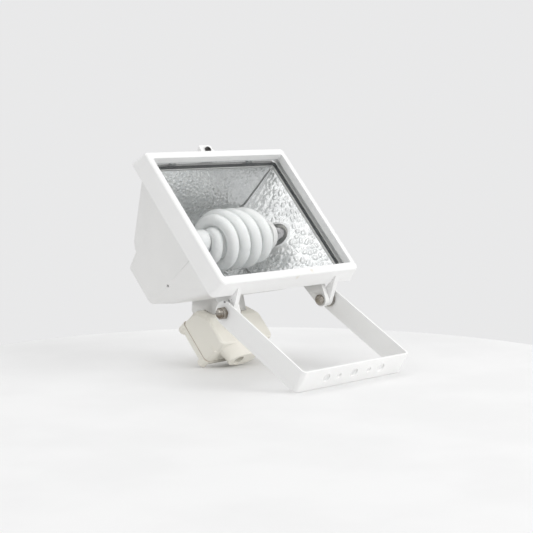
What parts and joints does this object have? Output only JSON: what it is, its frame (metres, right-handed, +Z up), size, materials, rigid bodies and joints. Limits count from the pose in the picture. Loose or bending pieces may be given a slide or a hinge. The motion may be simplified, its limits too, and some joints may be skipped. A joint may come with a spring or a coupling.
{
  "type": "halogen wall floodlight",
  "caption": "White wall floodlight on a U-bracket: hinged glazed frame, hammered reflector, double-ended spiral lamp and a terminal box under the tilting head.",
  "frame": {"origin": "middle of the part's bounding box on the surface it stands on", "axes": "+X across the light to its right seen from the front, +Y from the front to the back, +Z up"},
  "size_m": [0.1872, 0.212, 0.202],
  "materials": {
    "bracket_paint": "semi-gloss white powder coat",
    "white_paint": "semi-gloss white paint on a die casting",
    "cream_plastic": "cream moulded plastic, satin",
    "block_plastic": "white plastic",
    "lamp_plastic": "white plastic",
    "hammered_aluminium": "bright hammered sheet",
    "bright_steel": "zinc-plated",
    "dark_steel": "blackened",
    "clear_glass": "clear toughened glass with a green edge",
    "silicone": "grey-white silicone",
    "lamp_coating": "white fluorescent coating under glass",
    "ceramic": "unglazed",
    "brass_contact": "plain",
    "wire_sleeve": "silicone sleeve"
  },
  "bodies": {
    "bracket": {"bracket": "bracket_paint"},
    "head": {"housing": "white_paint", "door_gasket": "silicone", "reflector_trough": "hammered_aluminium", "reflector_end_left": "hammered_aluminium", "reflector_end_right": "hammered_aluminium", "reflector_screw_left": "bright_steel", "reflector_screw_right": "bright_steel", "lampholder_left": "ceramic", "lampholder_right": "ceramic", "lamp_tube": "lamp_coating", "lamp_base": "lamp_plastic", "lamp_cap_left": "ceramic", "lamp_cap_right": "ceramic", "lamp_tip_cup": "lamp_plastic", "terminal_box": "cream_plastic", "terminal_box_lid": "cream_plastic", "lid_screw_lower_left": "bright_steel", "lid_screw_lower_right": "bright_steel", "lid_screw_upper_left": "bright_steel", "lid_screw_upper_right": "bright_steel", "box_screw_left": "bright_steel", "box_screw_right": "bright_steel", "terminal_block": "block_plastic", "lead_left": "wire_sleeve", "lead_right": "wire_sleeve", "hinge_bolt_left": "bright_steel", "hinge_bolt_right": "bright_steel", "hinge_washer_left": "bright_steel", "hinge_washer_right": "bright_steel", "acorn_nut_left": "bright_steel", "acorn_nut_right": "bright_steel"},
    "door": {"front_frame": "white_paint", "front_glass": "clear_glass", "glass_seal": "silicone", "glass_clip_lower_left": "bright_steel", "glass_clip_lower_right": "bright_steel", "glass_clip_upper_left": "bright_steel", "glass_clip_upper_right": "bright_steel", "clip_screw_lower_left": "bright_steel", "clip_screw_lower_right": "bright_steel", "clip_screw_upper_left": "bright_steel", "clip_screw_upper_right": "bright_steel", "closing_screw": "dark_steel"},
    "contact_left": {"contact_pin_left": "brass_contact"},
    "contact_right": {"contact_pin_right": "brass_contact"}
  },
  "joints": [
    {"name": "head_tilt", "type": "hinge", "parent": "bracket", "child": "head", "pos_m": [0, -0.01334, 0.0599], "axis": [1, 0, 0], "range_deg": [-130, 5]},
    {"name": "door_open", "type": "hinge", "parent": "head", "child": "door", "pos_m": [0, -0.01334, 0.0599], "axis": [1, 0, 0], "range_deg": [0, 45]},
    {"name": "contact_press_left", "type": "slide", "parent": "head", "child": "contact_left", "axis": [-1, 0, 0], "range_m": [0, 0.002], "stiffness_N_per_m": 600},
    {"name": "contact_press_right", "type": "slide", "parent": "head", "child": "contact_right", "axis": [1, 0, 0], "range_m": [0, 0.002], "stiffness_N_per_m": 600}
  ]
}
